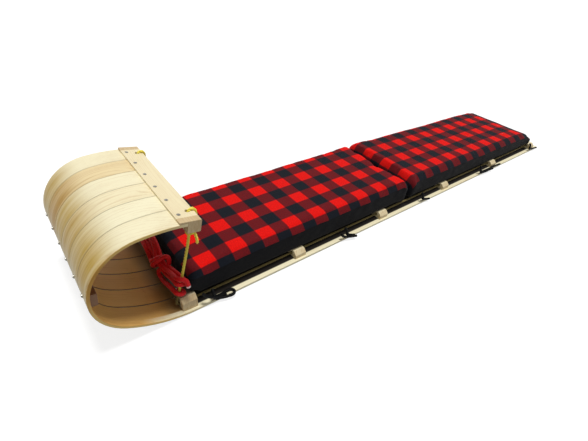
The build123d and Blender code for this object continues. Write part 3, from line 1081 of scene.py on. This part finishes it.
class TOBOGGAN_OT_stage(bpy.types.Operator):
    """Sets the pale floor and the soft light"""
    bl_idname = "toboggan.stage"
    bl_label = "Stage"

    def execute(self, context):
        settings = context.scene.toboggan_stage
        scene = context.scene
        scene.view_settings.view_transform = "Standard"
        ground = bmesh.new()
        bmesh.ops.create_grid(ground, x_segments=8, y_segments=8, size=40.0)
        bmesh.ops.translate(ground, verts=ground.verts, vec=(0, 0, -0.0012))
        mesh = bpy.data.meshes.new("floor")
        ground.to_mesh(mesh)
        ground.free()
        floor = new_object("floor", mesh)
        made = bpy.data.materials.new("pale_floor")
        made.use_nodes = True
        tree = made.node_tree
        tree.nodes.clear()
        seen = seen_plainly(tree)
        plain = node(tree, "BsdfDiffuse", {0: settings.floor}).outputs[0]
        glow = node(tree, "Emission", {0: (1, 1, 1, 1), 1: times(tree, seen, settings.white)}).outputs[0]
        total = node(tree, "AddShader", {0: plain, 1: glow}).outputs[0]
        node(tree, "OutputMaterial", {0: total})
        mesh.materials.append(made)
        world = bpy.data.worlds.new("studio")
        scene.world = world
        world.use_nodes = True
        sky = world.node_tree
        sky.nodes.clear()
        strength = blended(sky, seen_plainly(sky), settings.fill, 1.0)
        node(sky, "OutputWorld", {0: node(sky, "Background", {0: (1, 1, 1, 1), 1: strength}).outputs[0]})
        key = bpy.data.lights.new("overhead", "SUN")
        key.energy = settings.key
        key.angle = math.radians(14)
        lamp = new_object("overhead", key)
        lamp.rotation_euler = Vector((-0.10, 0.04, 1.0)).to_track_quat("Z", "Y").to_euler()
        lamp.location = (0.4, -0.6, 3.0)
        return {"FINISHED"}


# where the photograph was taken from: azimuth, elevation and roll in degrees, the place, and the
# focal length as a share of the picture's width
CAMERA_ANGLES = (138.448, 37.43, 6.34)
CAMERA_PLACE = (1.15437, 0.84941, 0.84485)
CAMERA_FOCUS = 381.11 / 588

# Routes and lists, in millimetres from the tail of the boards, the middle and the ground

SIDE_ROUTE = (
    (28.7, 172, 20.5), (80, 172, 20.5), (2011, 172, 20.5), (2071, 172, 20.5), (2069, 172, 34),
    (2060, 171.5, 60), (2011, 164.5, 236), (2013.5, 161, 252), (2016.8, 160, 263.1),
    # over the head bar, round the stay below it, and down to the end
    (2009.1, 160, 307.1), (1988.1, 160, 303.4), (1993, 163, 262), (2000, 172, 249), (2013, 175, 243),
    (2021, 168, 244), (2015, 158, 247), (2002, 160, 244), (1999, 169, 234), (1998, 173, 222),
    (1998, 174, 208),
)
PULL_ROUTE = (
    # the near tip, round the near stay and out of its front
    (2041, 193, 98), (2041, 191, 107), (2045, 187, 115), (2054, 181, 117), (2061, 170, 114),
    (2060, 150, 109),
    # over to the far side
    (2061, 124, 98), (2063, 102, 91), (2067, 82, 90), (2070, 62, 94), (2065, 42, 101), (2058, 22, 108),
    (2056, -2, 113), (2057, -60, 106), (2060, -110, 104), (2063, -158, 108),
    # round the far stay
    (2061, -181, 110), (2042, -182, 107), (2043, -160, 101),
    # back to the near side, and round its stay again
    (2054, -130, 96), (2061, -80, 94), (2064, -16, 99), (2066, 20, 96), (2067, 50, 86), (2064, 72, 74),
    (2062, 94, 68), (2061, 122, 78), (2062, 150, 94), (2064, 182, 101), (2041, 184, 98), (2043, 160, 100),
    # over to the far side, and round its stay again
    (2048, 140, 101), (2051, 118, 98), (2054, 98, 92), (2058, 78, 91), (2059, 62, 96), (2055, 43, 106),
    (2052, 22, 114), (2050, -6, 118), (2050, -60, 112), (2053, -110, 104), (2062, -146, 96),
    (2064, -181, 93),
    (2043, -182, 90), (2045, -160, 86),
    # to the middle
    (2060, -138, 82), (2070, -100, 84), (2073, -46, 96), (2075, -4, 97), (2076, 20, 87), (2078, 40, 78),
    # round the other strands, with a bight out to the side
    (2082, 56, 95), (2073, 69, 109), (2056, 71, 110), (2050, 61, 92), (2054, 51, 72), (2074, 49, 67),
    (2085, 61, 84), (2080, 73, 102), (2065, 78, 110), (2053, 81, 117), (2046, 87, 115), (2046, 90, 99),
    (2053, 88, 84), (2062, 76, 68), (2069, 58, 56),
    # to the foot of the near stay, and round it
    (2071, 64, 43), (2071, 90, 42), (2071, 123, 57), (2069, 154, 66), (2068, 182, 70), (2048, 183, 62),
    (2049, 164, 60), (2058, 158, 58),
)
# each cord of the pad's near side: its route, and where its knot sits and how large
TIE_ROUTES = (
    (
        ((1975, 194, 46), (1977, 202, 42), (1976, 202.5, 28), (1968, 201, 17), (1950, 197, 12),
         (1932, 193.4, 12), (1918, 194, 12), (1912, 202, 12), (1915, 211.5, 12), (1925, 215.5, 12),
         (1942, 212.5, 12), (1962, 206, 12.5), (1972, 204.5, 14)),
        (1974, 203, 20), 0.0076,
    ),
    (
        ((2006, 196, 47), (1999, 204, 42), (1986, 206, 30), (1970, 205, 19), (1950, 203, 14),
         (1938, 203, 12)),
        None, 0.0,
    ),
    (
        ((1468.3, 193, 46), (1468.3, 201.5, 44), (1464.3, 201.5, 30), (1456, 200.5, 17), (1444, 204, 11.3),
         (1431, 210, 11.3)),
        (1462, 201.5, 22), 0.0058,
    ),
    (((1490, 200, 30), (1482, 203, 20), (1462, 208, 13), (1430, 219, 12.5)), None, 0.0),
    (
        ((1039.2, 193, 46), (1039.2, 201.5, 44), (1035.2, 201.5, 30), (1025, 200.5, 17), (1009, 203, 11.3),
         (992, 208, 11.3)),
        (1030, 201.5, 20), 0.0078,
    ),
    (
        ((597.9, 193, 46), (597.9, 201.5, 44), (593.9, 201.5, 30), (581, 200.5, 16), (550, 200, 11.3),
         (502, 200.5, 11.3), (454, 200, 11.3), (408, 204, 11.3)),
        (588, 201.5, 20), 0.0060,
    ),
    (((590, 204, 14), (574, 206, 11.3), (545, 208, 11.3), (515, 207, 11.3), (488, 210, 11.3)), None, 0.0),
    (
        ((104, 193, 46), (104, 201.5, 44), (100, 201.5, 30), (89, 200.5, 16), (66, 202, 11.3),
         (44, 205, 11.3), (25, 209, 11.3)),
        (97, 201.5, 20), 0.0068,
    ),
)
# the middle of the stopper knot on a side rope's tail end
STOPPER = (28.7, 172, 21.5)
# how far the pull rope's melted tips stand out, and one turn of each rope's plait or lay, in metres
TIP_PROUD, PULL_PLAIT, SIDE_LAY, TIE_PLAIT = 0.0055, 0.022, 0.026, 0.011
# how fine the fibres of each rope are along it and round it, and how far they slant
ROPE_FIBRES = {
    "red_rope": (900.0, 26.0, 220.0),
    "yellow_rope": (1400.0, 9.0, 420.0),
    "black_cord": (300.0, 10.0, 60.0),
}
# where the boards end in the head bar, the bar's own two directions, and the angle at which the
# curl's screws stand above its middle
BAR_EDGE = (2027.0, 0, 300.4)
BAR_BACK, BAR_UP = Vector((-0.98497, 0, -0.17274)), Vector((-0.17274, 0, 0.98497))
CURL_SCREWS = math.radians(4)
# how far each board is from pale to tan, and how strong its figure is
BOARD_TONES = ((0.1, 0.22), (0.05, 0.2), (0.25, 0.3), (0.1, 0.2), (0.7, 0.4), (0.15, 0.25))
# the middle of one red check on each half
PAD_CHECKS = {"front": (1966, 142), "rear": (1084, 124)}
# how far below the top the seam of the boxing runs: near side, far side, outer ends and the fold
SEAM_NEAR, SEAM_FAR, SEAM_END, SEAM_FOLD = 14, 7, 9, 60
# where the pad's nose rises on to the front crossbar, how high it lies there, and its room for the ropes
NOSE_STEP, NOSE_LAP, NOSE_ROOM, ROPE_ROOM = (2002, 2015), 50.0, 1.5, 7.5
# the pad's forms, in metres: the room left to fill, the low edge, the fold and the creases beside it,
# how far the nose is pushed out and hangs down, and how far the cover may stand past its solid
COVER_SLACK, LOW_EDGE = 0.004, 0.005
FOLD_DEPTH, FOLD_REACH, CREASE_DEPTH, CREASE_REACH = 0.0085, 0.016, 0.0042, 0.055
NOSE_PUSH, NOSE_DROP, BULGE = 0.008, 0.006, 0.006
# how high the top of the pad stands along its length
PAD_PROFILE = (
    (62, 52), (84, 68), (120, 84), (190, 95), (300, 99), (458, 102), (900, 109), (1112, 113), (1850, 115),
    (2045, 101),
)


class TOBOGGAN_PT_panel(bpy.types.Panel):
    """Lists the toboggan's pieces"""
    bl_idname = "TOBOGGAN_PT_panel"
    bl_label = "Toboggan"
    bl_space_type = "VIEW_3D"
    bl_region_type = "UI"
    bl_category = "Toboggan"

    def draw(self, context):
        for step in STEPS:
            self.layout.operator(step.bl_idname)


SETTINGS = {
    "toboggan_wood": TobogganWood,
    "toboggan_pad": TobogganPad,
    "toboggan_rope": TobogganRope,
    "toboggan_metal": TobogganMetal,
    "toboggan_stage": TobogganStage,
}
STEPS = (
    TOBOGGAN_OT_camera,
    TOBOGGAN_OT_pull_rope,
    TOBOGGAN_OT_side_ropes,
    TOBOGGAN_OT_pad_ties,
    TOBOGGAN_OT_boards,
    TOBOGGAN_OT_bars,
    TOBOGGAN_OT_screws,
    TOBOGGAN_OT_pad,
    TOBOGGAN_OT_stage,
)


def register():
    for made in (*SETTINGS.values(), *STEPS, TOBOGGAN_PT_panel):
        bpy.utils.register_class(made)
    for name, made in SETTINGS.items():
        setattr(bpy.types.Scene, name, PointerProperty(type=made))


def unregister():
    for name in SETTINGS:
        delattr(bpy.types.Scene, name)
    for made in (TOBOGGAN_PT_panel, *reversed(STEPS), *reversed(SETTINGS.values())):
        bpy.utils.unregister_class(made)


def main():
    register()
    for step in STEPS:
        area, name = step.bl_idname.split(".")
        getattr(getattr(bpy.ops, area), name)()


if __name__ == "__main__":
    main()
